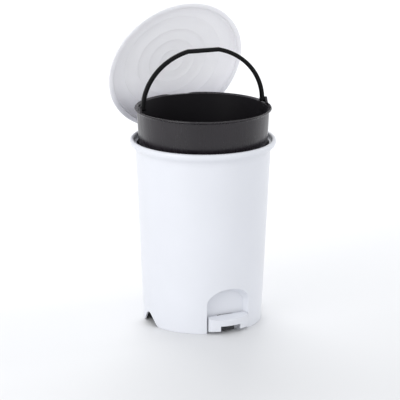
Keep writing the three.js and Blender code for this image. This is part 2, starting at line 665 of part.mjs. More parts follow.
function hingeBracket() {
  const { bottom, top, inner } = HINGE_FOOT;
  const foot = prism(behindFlat(bottom, top, footBack), 'x', inner, HINGE_EAR[1]);
  const outline = EAR_OUTLINE.map(([behind, over]) => [HINGE_Y + behind, HINGE_Z + over]);
  outline.push([flatY(top) + CLEARANCE, top], [flatY(bottom) + CLEARANCE, bottom]);
  const side = join(foot, prism(outline, 'x', ...HINGE_EAR));
  const { halfWidth, y, height } = HINGE_BRIDGE;
  const bridge = block([-halfWidth, halfWidth], y, [bottom, bottom + height]);
  const pinHole = bar(PIN_HOLE, 'x', -THROUGH, THROUGH, HINGE_Y, HINGE_Z);
  const screwHoles = BRACKET_SCREWS.map(([x, z]) => rearScrewHole(x, z));
  return mesh('hinge_bracket', cut(join(side, mirrorX(side), bridge), pinHole, ...screwHoles), 'body');
}

function rearAssembly(group) {
  group.add(rearCover());
  group.add(hingeBracket());
  for (const [name, low] of Object.entries(GUIDES)) {
    group.add(mesh(name, rodGuide(low), 'mechanism'));
  }
  const pin = bar(PIN_RADIUS, 'x', -HINGE_PIN_HALF, HINGE_PIN_HALF, HINGE_Y, HINGE_Z);
  group.add(mesh('hinge_pin', pin, 'steel'));
  const retainer = clip('x', ...HINGE_CLIP, HINGE_Y, HINGE_Z);
  group.add(mesh('hinge_clip_right', retainer, 'steel'));
  group.add(mesh('hinge_clip_left', mirrorX(retainer), 'steel'));
  const screws = { rear_cover_screw: COVER_SCREWS, hinge_screw: BRACKET_SCREWS };
  for (const [name, places] of Object.entries(screws)) {
    places.forEach(([x, z], i) => {
      const place = [x, footBack(z) + 2 * CLEARANCE, z];
      group.add(screwMesh(`${name}_${i + 1}`, SCREW_LENGTH.rear, place, -Math.PI / 2));
    });
  }
}

// ---- Lid ----------------------------------------------------------------------------------
// Height of the lid's upper skin: a shallow crown with stepped rings.
function lidTop(r) {
  const steps = LID_RINGS.filter((ring) => r < ring).length;
  return CROWN_BASE + RING_STEP * steps + CROWN_RISE * (1 - (r / CROWN_RADIUS) ** 2);
}

function lidOuter() {
  const outline = LID_EDGE.map(([inset, over]) => [LID_RADIUS - inset, LID_BOTTOM + over]);
  outline.push([CROWN_RADIUS, lidTop(CROWN_RADIUS)]);
  for (const ring of LID_RINGS) {
    outline.push([ring + RING_SLOPE, lidTop(ring + RING_SLOPE)]);
    outline.push([ring - RING_SLOPE, lidTop(ring - RING_SLOPE)]);
  }
  return [[0, LID_BOTTOM], ...outline, [0, lidTop(0)]];
}

function lidUnder() {
  const outline = LID_EDGE_UNDER.map(([inset, over]) => [LID_RADIUS - inset, LID_BOTTOM + over]);
  outline.push([CROWN_RADIUS, lidTop(CROWN_RADIUS) - LID_SKIN]);
  for (const ring of LID_RINGS) outline.push([ring, lidTop(ring + RING_SLOPE) - LID_SKIN]);
  return [[0, LID_BOTTOM - OVERCUT], ...outline, [0, lidTop(LID_RINGS.at(-1) - RING_SLOPE) - LID_SKIN]];
}

function lidShell() {
  const tab = cut(
    block([-TAB_HALF_WIDTH, TAB_HALF_WIDTH], TAB_REACH, [TAB_BOTTOM, TAB_TOP]),
    bar(TAB_INNER_RADIUS, 'z', LID_BOTTOM - OVERCUT, TAB_TOP + OVERCUT, 0, 0, ROUND_SEGMENTS),
  );
  const shell = join(cut(lathe(lidOuter()), lathe(lidUnder())), tab);
  const holes = ARM_SCREWS.map(([x, y]) => (
    bar(SCREW_HOLE, 'z', LID_BOTTOM - OVERCUT, TAB_TOP + OVERCUT, x, y, HOLE_SEGMENTS)
  ));
  return mesh('lid', cut(shell, ...holes), 'lid');
}

// The lug leans by half the opening angle, so it meets the rod alike in both end positions.
function lidLug() {
  const reach = LUG_REACH + LUG_TIP;
  const lug = new THREE.BoxGeometry(LUG_WIDTH, reach, LUG_THICKNESS);
  lug.translate(ROD_X, -reach / 2, 0);
  lug.rotateX(THREE.MathUtils.degToRad(LID_OPEN_DEG / 2));
  return solid(lug.translate(0, HINGE_Y, HINGE_Z));
}

function lidArm() {
  const top = TAB_BOTTOM - CLEARANCE;
  const span = [-BARREL_HALF_WIDTH, BARREL_HALF_WIDTH];
  const barrel = bar(BARREL_RADIUS, 'x', ...span, HINGE_Y, HINGE_Z, HUB_SEGMENTS);
  const wall = block([-TAB_HALF_WIDTH, TAB_HALF_WIDTH], ARM_WALL, [HINGE_Z, top]);
  const pinHole = bar(PIN_HOLE, 'x', -THROUGH, THROUGH, HINGE_Y, HINGE_Z);
  const screwHoles = ARM_SCREWS.map(([x, y]) => (
    bar(SCREW_HOLE, 'z', top - ARM_HOLE_DEPTH, top + OVERCUT, x, y, HOLE_SEGMENTS)
  ));
  return mesh('lid_arm', cut(join(barrel, wall, lidLug()), pinHole, ...screwHoles), 'mechanism');
}

function lidAssembly() {
  const closed = new THREE.Group();
  closed.position.set(0, -HINGE_Y, -HINGE_Z);
  closed.add(lidShell());
  closed.add(lidArm());
  ARM_SCREWS.forEach(([x, y], i) => {
    closed.add(screwMesh(`lid_arm_screw_${i + 1}`, SCREW_LENGTH.lid, [x, y, TAB_TOP + CLEARANCE]));
  });
  const opened = new THREE.Group();
  opened.position.set(0, HINGE_Y, HINGE_Z);
  opened.rotation.x = -THREE.MathUtils.degToRad(LID_OPEN_DEG);
  opened.add(closed);
  return opened;
}

// ---- Inner bucket and bail ----------------------------------------------------------------
// The flange flares out from the wall and slopes like a funnel towards the bucket's mouth.
function flangeOutline() {
  return [
    [BUCKET_RADIUS, BUCKET_TOP - FLARE_DEPTH],
    [FLANGE_RADIUS, BUCKET_TOP - FLANGE_THICKNESS],
    [FLANGE_RADIUS, BUCKET_TOP - FLANGE_EDGE],
    [FLANGE_RADIUS - FLANGE_EDGE, BUCKET_TOP],
    [BUCKET_RADIUS - FUNNEL_INSET, BUCKET_TOP - FUNNEL_DROP],
    [BUCKET_RADIUS - BUCKET_WALL, BUCKET_TOP - FUNNEL_DROP - 1],
  ];
}

function bucketOutline() {
  const bottom = BUCKET_TOP - BUCKET_DEPTH;
  const low = BUCKET_RADIUS - BUCKET_TAPER * BUCKET_DEPTH;
  const foot = [
    [0, bottom],
    [low - BUCKET_FOOT_BEND, bottom],
    [low - BUCKET_FOOT_EDGE, bottom + BUCKET_FOOT_EDGE],
    [low, bottom + BUCKET_FOOT_BEND],
  ];
  const floor = [
    [low - BUCKET_WALL, bottom + BUCKET_WALL + BUCKET_FOOT_BEND],
    [low - BUCKET_WALL - BUCKET_FOOT_BEND, bottom + BUCKET_WALL],
    [0, bottom + BUCKET_WALL],
  ];
  return [...foot, ...flangeOutline(), ...floor];
}

function pivotEar() {
  const root = BUCKET_TOP - FLANGE_THICKNESS;
  const crest = BUCKET_TOP + EAR_HEIGHT;
  const [base, tip] = [EAR_BASE_HALF, EAR_TOP_HALF];
  const outline = [[-base, root], [base, root], [tip, crest], [-tip, crest]];
  return prism(outline, 'x', BAIL_OUTER + BAIL_GAP, FLANGE_RADIUS - EAR_INSET);
}

function rearRelief() {
  const across = [-RELIEF_HALF_WIDTH, RELIEF_HALF_WIDTH];
  return block(across, [FLAT_ROOT, THROUGH], [BUCKET_TOP - RELIEF_DEPTH, BUCKET_TOP + OVERCUT]);
}

function innerBucket() {
  const bucket = join(lathe(bucketOutline()), pivotEar(), mirrorX(pivotEar()));
  const pivotHoles = bar(EAR_PIN_RADIUS + CLEARANCE, 'x', -THROUGH, THROUGH, 0, BAIL_PIVOT_Z);
  return mesh('inner_bucket', cut(bucket, rearRelief(), pivotHoles), 'bucket');
}

// One side of the bail's outline: an ellipse that meets the flat grip at the top.
function bailCurve(halfWidth, rise, flip) {
  const points = [];
  const steps = 18;
  const start = Math.asin(BAIL_GRIP_HALF / halfWidth);
  for (let i = 0; i <= steps; i += 1) {
    const angle = start + (Math.PI / 2 - start) * (i / steps);
    const x = halfWidth * Math.sin(angle);
    const z = (rise * Math.cos(angle)) / Math.cos(start);
    points.push([flip * x, BAIL_PIVOT_Z + z]);
  }
  return points;
}

function bailEnd(side) {
  const inner = side * (BAIL_OUTER - BAIL_THICKNESS);
  const span = (outer) => [inner, side * outer].sort((a, b) => a - b);
  return join(
    bar(EAR_PIN_RADIUS, 'x', ...span(FLANGE_RADIUS - CLEARANCE), 0, BAIL_PIVOT_Z, WIRE_SEGMENTS),
    bar(BAIL_DEPTH / 2, 'x', ...span(BAIL_OUTER), 0, BAIL_PIVOT_Z),
  );
}

function bail() {
  const inset = [BAIL_OUTER - BAIL_THICKNESS, BAIL_RISE - BAIL_THICKNESS];
  const full = [BAIL_OUTER, BAIL_RISE];
  const outer = [...bailCurve(...full, -1).reverse(), ...bailCurve(...full, 1)];
  const inner = [...bailCurve(...inset, 1).reverse(), ...bailCurve(...inset, -1)];
  const bow = prism([...outer, ...inner], 'y', -BAIL_DEPTH / 2, BAIL_DEPTH / 2);
  return mesh('bail_handle', join(bow, bailEnd(-1), bailEnd(1)), 'bail');
}

function bucketAssembly() {
  const turned = new THREE.Group();
  turned.rotation.z = THREE.MathUtils.degToRad(BUCKET_TURN_DEG);
  turned.add(innerBucket());
  turned.add(bail());
  return turned;
}

// ---- Assembly -----------------------------------------------------------------------------
const bin = new THREE.Group();
bin.position.y = -AXIS_OFFSET;
bin.add(outerBody());
bin.add(innerFloor());
pedalBearings(bin);
pedal(bin);
pushRod(bin);
rearAssembly(bin);
bin.add(lidAssembly());
bin.add(bucketAssembly());

const root = new THREE.Group();
root.add(bin);

export default root;
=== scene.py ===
"""Looks of the round pedal bin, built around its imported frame. Metres, +Z up, pedal towards -Y."""
import json
import math

import bmesh
import bpy
from mathutils import Matrix, Vector


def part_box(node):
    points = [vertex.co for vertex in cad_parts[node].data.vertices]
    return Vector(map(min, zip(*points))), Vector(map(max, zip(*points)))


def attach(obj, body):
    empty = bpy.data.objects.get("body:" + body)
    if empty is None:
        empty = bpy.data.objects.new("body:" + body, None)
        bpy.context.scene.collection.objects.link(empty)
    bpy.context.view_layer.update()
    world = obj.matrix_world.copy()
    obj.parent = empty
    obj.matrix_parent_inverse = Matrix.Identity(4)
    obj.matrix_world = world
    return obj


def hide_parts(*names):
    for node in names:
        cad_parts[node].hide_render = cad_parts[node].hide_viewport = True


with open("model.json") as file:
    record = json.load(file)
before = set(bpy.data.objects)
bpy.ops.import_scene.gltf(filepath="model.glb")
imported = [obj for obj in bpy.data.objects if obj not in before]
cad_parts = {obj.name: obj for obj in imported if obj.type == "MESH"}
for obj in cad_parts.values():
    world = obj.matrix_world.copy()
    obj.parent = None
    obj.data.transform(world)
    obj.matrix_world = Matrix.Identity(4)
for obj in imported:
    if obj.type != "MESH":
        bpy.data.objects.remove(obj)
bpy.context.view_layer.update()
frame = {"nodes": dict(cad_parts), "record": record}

FLOOR_LOW, FLOOR_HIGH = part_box("inner_floor")
AXIS_Y = (FLOOR_LOW.y + FLOOR_HIGH.y) / 2

# ---- Places and sizes, in millimetres from the can's axis at floor level ---------------------
# LAP is how far a cutting shape passes the face that it trims, and EDGE_ANGLE is in degrees.
MM = 0.001
SEGMENTS = 192
CURVE_STEPS = 40
EDGE_ANGLE = 32
LAP = 0.01

FOOT_RADIUS = 84.9
FOOT_ROUND = 0.6
WALL_TAPER = 0.0447
BODY_WALL = 2.2
BODY_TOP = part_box("outer_body")[1].z / MM
BODY_EDGE = 0.7
RIM_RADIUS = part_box("outer_body")[1].x / MM
RIM_INNER = 97.9
LEDGE_HEIGHT = 259.5
FLAT_HALF_WIDTH = 26
FLAT_PROUD = 1.5
FLAT_FOOT, FLAT_TOP = 6, 251

ALCOVE_BACK = -70.5
ALCOVE_SURFACE = -79.0
ALCOVE_FRONT = -95
ALCOVE_HALF_WIDTH = 28.5
ALCOVE_HEIGHT = 57
ALCOVE_FLARE = (4.2, 4)
ALCOVE_SPRING = 0.69

NOTCH_HALF_WIDTH = 24.5
NOTCH_HEIGHT = 18
NOTCH_EASE = 0.9

ROD_X = 6.2
ROD_GROOVE_Y = 98.5
ROD_GROOVE_RADIUS = 2.7
ROD_GROOVE_ENDS = (150, 240)
# Openings as ranges in x, y and z.
LEVER_SLOT = ((-12.5, 12.5), (-82, -60), (-1, 23.2))
TAIL_SLOT = ((-6, 6), (70, 100), (2, 31))
ROD_WINDOW = ((-2, 14), (96, 100), (228, 252))

PAD_FRONT = -92
PAD_SHOULDER = -80
PAD_BACK = -74
PAD_SAGITTA = 9
PAD_HALF_WIDTH = 30.6
PAD_CORNER = 2.6
PAD_FOOT, PAD_TOP = 4.5, 23.8
PAD_WALL = 2.4
PAD_BACK_WALL = 1.0
PAD_CEILING = 17.8
PAD_GAP_HALF_WIDTH, PAD_GAP_TOP = 15.5, 12
# Cut that gives the pad its slope: distances behind its front and below its top.
PAD_NOSE = [(-11, 9.8), (0, 4.4), (0.8, 3.6), (2, 2.9), (6, 2.0), (14, 0.3), (17, -LAP), (-11, -LAP)]

HINGE_LOW, HINGE_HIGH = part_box("hinge_pin")
HINGE_Y = ((HINGE_LOW.y + HINGE_HIGH.y) / 2 - AXIS_Y) / MM
HINGE_Z = (HINGE_LOW.z + HINGE_HIGH.z) / 2 / MM
LID_OPEN = math.radians(68.7)
LID_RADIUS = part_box("lid")[1].x / MM
LID_INNER = 98.2
LID_BOTTOM = 266.4
LID_WALL = 1.9
LID_RINGS = (76, 54, 36, 18)
RING_STEP = 0.45
CROWN_RADIUS = 90
CROWN_BASE = 281.2
CROWN_RISE = 1.6

BUCKET_TOP = 311.0
BUCKET_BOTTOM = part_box("inner_bucket")[0].z / MM
BUCKET_RADIUS = 93.9
BUCKET_TAPER = 0.047
BUCKET_WALL = 1.7
BUCKET_HEEL = 4
BUCKET_TURN = Matrix.Rotation(math.radians(-5), 4, "Z")
FLANGE_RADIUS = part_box("inner_bucket")[1].x / MM
# Flange outlines: distances from BUCKET_RADIUS outwards, from FLANGE_RADIUS inwards and from
# BUCKET_RADIUS inwards, each with a distance below the top.
UNDER_FLANGE = [(0, 5.6), (0.3, 4.3), (1.2, 3.2)]
FLANGE_EDGE = [(0.6, 2.3), (0.1, 2.0), (0, 1.5), (0.2, 0.8), (0.7, 0.25), (1.4, 0)]
FLANGE_FUNNEL = [(0.4, 1.5), (1.1, 1.95), (1.6, 3.0)]
# Right half of the dip, and the foot of the pivot ears: sideways and above the top.
REAR_DIP = [(13, -1.7), (20, -0.5), (25, LAP), (25, 1)]
EAR_ROOT = [(-5.2, 1.4), (-6.4, -1.4), (6.4, -1.4), (5.2, 1.4)]
EAR_GAP = 0.6
EAR_RADIUS, EAR_CENTRE = 3.9, 3.4

BAIL_PIVOT_Z = BUCKET_TOP + 3.6
BAIL_OUTER = 93.6
BAIL_THICKNESS = 6.2
BAIL_RISE = 80.3
BAIL_DEPTH = 6.0
BAIL_GRIP_HALF = 23.0
BAIL_SIDES = 20
BAIL_ROUNDNESS = 0.55
PIN_RADIUS = 2.4
PIN_BORE = 2.7
BOSS_RADIUS = 3.0


# ---- Mesh tools ------------------------------------------------------------------------------
def as_object(bm, name):
    """The bmesh as a linked object, still in millimetres."""
    bmesh.ops.recalc_face_normals(bm, faces=bm.faces)
    mesh = bpy.data.meshes.new(name)
    bm.to_mesh(mesh)
    bm.free()
    made = bpy.data.objects.new(name, mesh)
    bpy.context.scene.collection.objects.link(made)
    return made


def circle(radius, sides):
    angles = [2 * math.pi * i / sides for i in range(sides)]
    return [(radius * math.cos(a), radius * math.sin(a)) for a in angles]


def arc(cx, cz, radius, start, end, steps):
    """Points of an arc in a profile, angles in degrees from +radius towards +Z."""
    angles = [math.radians(start + (end - start) * i / steps) for i in range(steps + 1)]
    return [(cx + radius * math.cos(a), cz + radius * math.sin(a)) for a in angles]


def lathe(name, profile):
    """A solid turned round the Z axis. The profile is a closed loop of (radius, height) points."""
    bm = bmesh.new()
    rings = []
    for radius, height in profile:
        points = circle(radius, SEGMENTS) if radius else [(0, 0)]
        rings.append([bm.verts.new((x, y, height)) for x, y in points])
    on_axis = len(rings[0]) == 1 and len(rings[-1]) == 1
    pairs = list(zip(rings, rings[1:])) + ([] if on_axis else [(rings[-1], rings[0])])
    for low, high in pairs:
        for i in range(SEGMENTS):
            k = (i + 1) % SEGMENTS
            corners = [low[i % len(low)], low[k % len(low)], high[k % len(high)], high[i % len(high)]]
            distinct = list(dict.fromkeys(corners))
            if len(distinct) > 2:
                bm.faces.new(distinct)
    return as_object(bm, name)


def loft(name, sections):
    """A solid skin through equal-length closed loops of (x, y, z) points, flat at both ends."""
    bm = bmesh.new()
    loops = [[bm.verts.new(point) for point in section] for section in sections]
    count = len(loops[0])
    for near, far in zip(loops, loops[1:]):
        for i in range(count):
            k = (i + 1) % count
            bm.faces.new((near[i], near[k], far[k], far[i]))
    bm.faces.new(loops[0])
    bm.faces.new(loops[-1])
    return as_object(bm, name)


def prism(name, outline, axis, start, end):
    """A flat outline swept along x, y or z between two places."""
    def point(u, v, along):
        return {"x": (along, u, v), "y": (u, along, v), "z": (u, v, along)}[axis]
    return loft(name, [[point(u, v, along) for u, v in outline] for along in (start, end)])


def block(name, xs, ys, zs):
    return prism(name, [(xs[0], ys[0]), (xs[1], ys[0]), (xs[1], ys[1]), (xs[0], ys[1])], "z", *zs)


def rod(name, radius, axis, start, end, u, v, sides=32):
    """A cylinder along x, y or z, round (u, v) in the plane across it."""
    return prism(name, [(u + x, v + y) for x, y in circle(radius, sides)], axis, start, end)


def apply_modifiers(obj):
    graph = bpy.context.evaluated_depsgraph_get()
    mesh = bpy.data.meshes.new_from_object(obj.evaluated_get(graph))
    obj.modifiers.clear()
    obj.data = mesh


def combine(target, operation, *others):
    """Adds, cuts or intersects the other solids, which are used up."""
    for other in others:
        step = target.modifiers.new(operation, "BOOLEAN")
        step.object = other
        step.operation = operation
        step.solver = "MANIFOLD"
        apply_modifiers(target)
        bpy.data.objects.remove(other)


def bevel(obj, width, segments=3, degrees=EDGE_ANGLE):
    step = obj.modifiers.new("edges", "BEVEL")
    step.width = width * MM
    step.segments = segments
    step.limit_method = "ANGLE"
    step.angle_limit = math.radians(degrees)
    step.use_clamp_overlap = True
    step.harden_normals = True


def settle(obj, body, node, material, turn=None):
    """Takes a piece from millimetres round the can's axis to its place in the frame, on its body."""
    if turn is not None:
        obj.data.transform(turn)
    obj.data.transform(Matrix.Translation((0, AXIS_Y, 0)) @ Matrix.Scale(MM, 4))
    for face in obj.data.polygons:
        face.use_smooth = True
    obj.data.set_sharp_from_angle(angle=math.radians(EDGE_ANGLE))
    obj.data.materials.clear()
    obj.data.materials.append(material)
    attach(obj, body)
    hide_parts(node)


# ---- Materials -------------------------------------------------------------------------------
class Surface:
    """A new material, with short ways to add the nodes that the materials share."""

    def __init__(self, name):
        self.material = bpy.data.materials.new(name)
        self.material.use_nodes = True
        self.tree = self.material.node_tree
        self.shader = self.tree.nodes["Principled BSDF"]
        self.place = self.add("ShaderNodeTexCoord", "Object", {})

    def fill(self, node, inputs):
        """Links the inputs that are given a socket and sets the others to their value."""
        for name, value in inputs.items():
            if isinstance(value, bpy.types.NodeSocket):
                self.tree.links.new(value, node.inputs[name])
            else:
                node.inputs[name].default_value = value

    def add(self, kind, output, inputs, **settings):
        node = self.tree.nodes.new(kind)
        for name, value in settings.items():
            setattr(node, name, value)
        self.fill(node, inputs)
        return node.outputs[output]

    def axis(self, letter):
        return self.add("ShaderNodeSeparateXYZ", letter, {"Vector": self.place})

    def noise(self, scale, detail=2.0, roughness=0.5, stretch=None):
        vector = self.place
        if stretch:
            vector = self.add("ShaderNodeMapping", "Vector", {"Vector": self.place, "Scale": stretch})
        inputs = {"Vector": vector, "Scale": scale, "Detail": detail, "Roughness": roughness}
        return self.add("ShaderNodeTexNoise", "Fac", inputs)

    def ramp(self, source, low, high, start=0.25, end=0.75):
        """A soft step from low to high, as the source goes from start to end."""
        inputs = {"Value": source, "From Min": start, "From Max": end, "To Min": low, "To Max": high}
        return self.add("ShaderNodeMapRange", "Result", inputs, interpolation_type="SMOOTHSTEP")

    def spread(self, source, low, high):
        """The source, which runs from 0 to 1, spread evenly from low to high."""
        return self.add("ShaderNodeMapRange", "Result", {"Value": source, "To Min": low, "To Max": high})

    def mix(self, factor, first, second, blend="MIX"):
        inputs = {"Factor": factor, "A": first, "B": second}
        return self.add("ShaderNodeMix", "Result", inputs, data_type="RGBA", blend_type=blend)

    def total(self, first, second):
        return self.add("ShaderNodeMath", "Value", {0: first, 1: second}, operation="ADD")

    def bump(self, height, strength, distance, **under):
        inputs = {"Height": height, "Strength": strength, "Distance": distance, **under}
        return self.add("ShaderNodeBump", "Normal", inputs)


def shades(colour, dark, light):
    """The colour made darker and lighter, for the two ends of a mix."""
    return (*[c * dark for c in colour], 1), (*[min(c * light, 1) for c in colour], 1)


def moulded(name, colour, roughness, grain, bump, variation, gloss=0.04, streaks=0.0, specks_and_painted_shade=None,
            **shader):
    """Moulded plastic: cloudy colour and gloss, a fine pebbled skin and faint flow marks.

    Streaks are drawn lines in its gloss. Specks are fine dots, and a painted shade darkens the colour
    downwards.
    """
    made = Surface(name)
    clouds = made.noise(14, 3)
    flow = made.noise(1, 2, stretch=(60, 60, 3))

    tint = made.mix(made.ramp(clouds, 0, 1), *shades(colour, 1 - variation, 1 + variation))
    if specks_and_painted_shade:
        specks = made.ramp(made.noise(2600, 1), 0, specks_and_painted_shade["specks"], 0.62, 0.7)
        tint = made.mix(specks, tint, (0.93, 0.93, 0.94, 1), "MULTIPLY")
        # Painted shade: the colour gets darker downwards, below the upper of the two heights.
        shade = made.ramp(made.axis("Z"), specks_and_painted_shade["painted_shade_darkest"], 1, *specks_and_painted_shade["heights"])
        tint = made.add("ShaderNodeVectorMath", "Vector", {0: tint, "Scale": shade}, operation="SCALE")

    dullness = made.total(made.ramp(clouds, roughness - gloss, roughness + gloss),
                          made.ramp(flow, -gloss / 2, gloss / 2))
    if streaks:
        lines = made.noise(1, 3, stretch=(120, 120, 2))
        dullness = made.total(dullness, made.ramp(lines, -streaks, streaks))

    pebbles = made.bump(made.noise(grain, 4, 0.6), bump, 0.0004)
    waves = made.bump(flow, bump * 0.25, 0.0015, Normal=pebbles)
    made.fill(made.shader, {"Base Color": tint, "Roughness": dullness, "Normal": waves})
    made.fill(made.shader, {socket.replace("_", " "): value for socket, value in shader.items()})
    return made.material


def plated(name, colour, roughness):
    """Zinc-plated steel: brushed along Z, with cloudy passivation."""
    made = Surface(name)
    brushed = made.noise(1, 3, stretch=(900, 900, 60))
    made.fill(made.shader, {
        "Metallic": 1.0,
        "Base Color": made.mix(made.noise(160), *shades(colour, 0.85, 1.1)),
        "Roughness": made.spread(brushed, roughness - 0.08, roughness + 0.12),
        "Normal": made.bump(brushed, 0.08, 0.0002),
    })
    return made.material


def pale_floor():
    """Matt floor with painted light: its colour gets a little lighter towards the back."""
    made = Surface("pale_floor")
    made.fill(made.shader, {
        "Base Color": made.mix(made.ramp(made.axis("Y"), 0, 1, -0.55, 0.75),
                               (0.74, 0.745, 0.755, 1), (0.88, 0.885, 0.895, 1)),
        "Roughness": made.spread(made.noise(3), 0.5, 0.6),
    })
    return made.material


WHITE = moulded("white_plastic", (0.77, 0.785, 0.83), 0.30, grain=1400, bump=0.02, variation=0.012,
                gloss=0.012, IOR=1.46, Coat_Weight=0.12, Coat_Roughness=0.14)
# Lid: fine specks, and a painted shade that darkens its colour towards the hinge of the open lid.
LID_SPECKS_AND_PAINTED_SHADE = {"specks": 0.3, "painted_shade_darkest": 0.62, "heights": (0.272, 0.34)}
PEARL = moulded("pearl_translucent_plastic", (0.875, 0.87, 0.915), 0.36, grain=1100, bump=0.04,
                variation=0.015, specks_and_painted_shade=LID_SPECKS_AND_PAINTED_SHADE, IOR=1.46,
                Subsurface_Weight=0.7, Subsurface_Scale=0.006, Subsurface_Radius=(1, 1, 1))
CHARCOAL = moulded("charcoal_plastic", (0.0098, 0.0068, 0.0102), 0.28, grain=1600, bump=0.06,
                   variation=0.2, streaks=0.09, IOR=1.5, Specular_IOR_Level=0.57)
CHARCOAL_MATT = moulded("charcoal_plastic_matt", (0.008, 0.007, 0.0088), 0.5, grain=1200, bump=0.08,
                        variation=0.2, IOR=1.5, Specular_IOR_Level=0.1)
BLACK = moulded("black_plastic", (0.003, 0.003, 0.0035), 0.36, grain=1500, bump=0.05, variation=0.15,
                IOR=1.5, Specular_IOR_Level=0.15)
MECHANISM = moulded("dark_mechanism_plastic", (0.045, 0.045, 0.05), 0.46, grain=1200, bump=0.08,
                    variation=0.12)
STEEL = plated("plated_steel", (0.58, 0.59, 0.60), 0.32)
SLOT_MATERIALS = {"body": WHITE, "lid": PEARL, "bucket": CHARCOAL, "bail": BLACK, "steel": STEEL,
                  "mechanism": MECHANISM}


# ---- Outer body ------------------------------------------------------------------------------
def wall_radius(height):
    return FOOT_RADIUS + WALL_TAPER * height


def body_outline():
    """Outside of the can up and over the rolled rim, closed along the axis."""
    inset = FOOT_RADIUS - FOOT_ROUND
    foot = [(0, 0), (inset, 0)] + arc(inset, FOOT_ROUND, FOOT_ROUND, -60, 0, 3)
    wall = [(wall_radius(z), z) for z in (4, 40, 80, 120, 160, 200, 230, 245)]
    flare = [(wall_radius(250), 250), (97.4, 252.4), (99.1, 254.5), (101.2, 256.3)]
    roll = [(102.7, 257.9), (103.6, 259.8), (RIM_RADIUS, 262.0), (103.7, 263.8), (103.0, 265.1)]
    return foot + wall + flare + roll + [(101.9, 265.8), (101.0, BODY_TOP), (0, BODY_TOP)]


def body_void():
    """Inside of the can up to the ledge that carries the bucket, and out through the rounded rim."""
    wall = [(wall_radius(z) - BODY_WALL, z) for z in (-1, LEDGE_HEIGHT)]
    step = [(RIM_INNER, LEDGE_HEIGHT), (RIM_INNER, BODY_TOP - 2.9), (RIM_INNER + 0.25, BODY_TOP - 1.7)]
    lip = [(RIM_INNER + 0.9, BODY_TOP - 0.7), (RIM_INNER + 2.1, BODY_TOP + LAP)]
    return [(0, -1)] + wall + step + lip + [(RIM_INNER + 2.1, BODY_TOP + 5), (0, BODY_TOP + 5)]


def arch():
    """Straight sides and a half ellipse over them, one unit high and from -1 to 1 across."""
    points = [(1, -0.05)]
    for i in range(CURVE_STEPS + 1):
        angle = math.pi * i / CURVE_STEPS
        points.append((math.cos(angle), ALCOVE_SPRING + (1 - ALCOVE_SPRING) * math.sin(angle)))
    return points + [(-1, -0.05)]


def alcove(name, grow, back):
    """The pedal alcove's space, widening from its flat back wall to the can's surface and on."""
    def section(y):
        share = (ALCOVE_BACK - y) / (ALCOVE_BACK - ALCOVE_SURFACE)
        wide = ALCOVE_HALF_WIDTH + share * ALCOVE_FLARE[0] + grow
        high = ALCOVE_HEIGHT + share * ALCOVE_FLARE[1] + grow
        return [(x * wide, y, z * high) for x, z in arch()]
    return loft(name, [section(y) for y in (ALCOVE_FRONT, back)])


def notch():
    """Bell-shaped grip notch, cut through both sides."""
    outline = [(-25, -1)]
    for i in range(CURVE_STEPS + 1):
        t = -1 + 2 * i / CURVE_STEPS
        bell = 0.5 + 0.5 * math.cos(math.pi * t)
        outline.append((t * NOTCH_HALF_WIDTH, max(NOTCH_HEIGHT * bell ** NOTCH_EASE, 0)))
    return prism("notch", outline + [(25, -1)], "x", -120, 120)


def rear_flat():
    """The mounting strip behind the can, which stands a little proud of its wall."""
    wall = [(wall_radius(z) + FLAT_PROUD, z) for z in (FLAT_FOOT, FLAT_TOP)]
    outline = [(70, FLAT_FOOT)] + wall + [(70, FLAT_TOP)]
    return prism("flat", outline, "x", -FLAT_HALF_WIDTH, FLAT_HALF_WIDTH)


def outer_body():
    body = lathe("body_shell", body_outline())
    combine(body, "UNION", rear_flat())
    pocket = alcove("pocket", BODY_WALL, ALCOVE_BACK + BODY_WALL)
    combine(pocket, "INTERSECT", lathe("whole", body_outline()))
    combine(body, "DIFFERENCE", lathe("hollow", body_void()))
    combine(body, "UNION", pocket)
    combine(body, "DIFFERENCE", alcove("space", 0, ALCOVE_BACK), notch())
    combine(body, "DIFFERENCE", block("under", (-99, 99), (-99, -20), (-9, 0)))
    combine(body, "DIFFERENCE", block("slot", *LEVER_SLOT), block("tail_slot", *TAIL_SLOT))
    groove = rod("groove", ROD_GROOVE_RADIUS, "z", *ROD_GROOVE_ENDS, ROD_X, ROD_GROOVE_Y)
    combine(body, "DIFFERENCE", groove, block("window", *ROD_WINDOW))
    settle(body, "can", "outer_body", WHITE)
    bevel(body, BODY_EDGE)


# ---- Pedal pad -------------------------------------------------------------------------------
def pad_plan(inset, back):
    """The pad from above: a straight back, narrowing corners and a bowed front."""
    half = PAD_HALF_WIDTH - inset
    corner = half - PAD_CORNER
    outline = [(half, PAD_SHOULDER), (corner, back), (-corner, back), (-half, PAD_SHOULDER)]
    steps = 32
    for i in range(steps + 1):
        t = -1 + 2 * i / steps
        outline.append((t * half, PAD_FRONT + inset + PAD_SAGITTA * t * t))
    return outline


def pedal_pad():
    """A wedge that slopes to its bowed front, hollow below, with a leg at each side of a low gap."""
    pad = prism("pedal_tread", pad_plan(0, PAD_BACK), "z", PAD_FOOT, PAD_TOP)
    slope = [(PAD_FRONT + behind, PAD_TOP - below) for behind, below in PAD_NOSE]
    combine(pad, "DIFFERENCE", prism("slope", slope, "x", -40, 40))
    hollow = pad_plan(PAD_WALL, PAD_BACK + PAD_BACK_WALL)
    combine(pad, "DIFFERENCE", prism("hollow", hollow, "z", 3, PAD_CEILING))
    gap = (-PAD_GAP_HALF_WIDTH, PAD_GAP_HALF_WIDTH)
    combine(pad, "DIFFERENCE", block("gap", gap, (-99, -79), (3, PAD_GAP_TOP)))
    combine(pad, "DIFFERENCE", block("behind", (-40, 40), (PAD_SHOULDER, -60), (3, PAD_GAP_TOP)))
    settle(pad, "pedal", "pedal_pad", WHITE)
    bevel(pad, BODY_EDGE)


